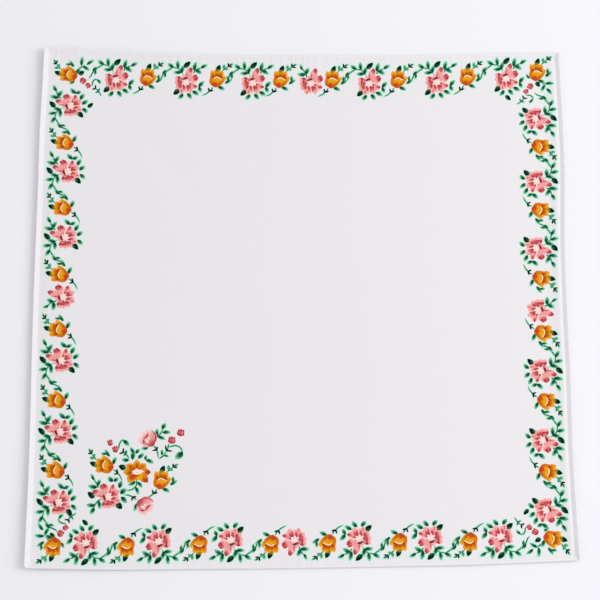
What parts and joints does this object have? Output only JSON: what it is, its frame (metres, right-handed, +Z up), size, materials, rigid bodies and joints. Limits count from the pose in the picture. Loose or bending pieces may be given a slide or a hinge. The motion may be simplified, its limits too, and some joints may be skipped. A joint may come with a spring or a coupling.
{
  "type": "handkerchief",
  "caption": "Square white cotton handkerchief with a narrow rolled hem and a printed floral border, lying flat with its edges a little lifted.",
  "frame": {"origin": "on the table under the middle of the sheet's outline", "axes": "+Z up out of the printed face, +Y towards the back edge, +X to the right"},
  "size_m": [0.3022, 0.304, 0.0045],
  "materials": {
    "printed_cotton": "matt plain-woven cotton lawn, white, with a printed flower and leaf border"
  },
  "bodies": {
    "root": {"cloth": "printed_cotton"}
  },
  "joints": []
}
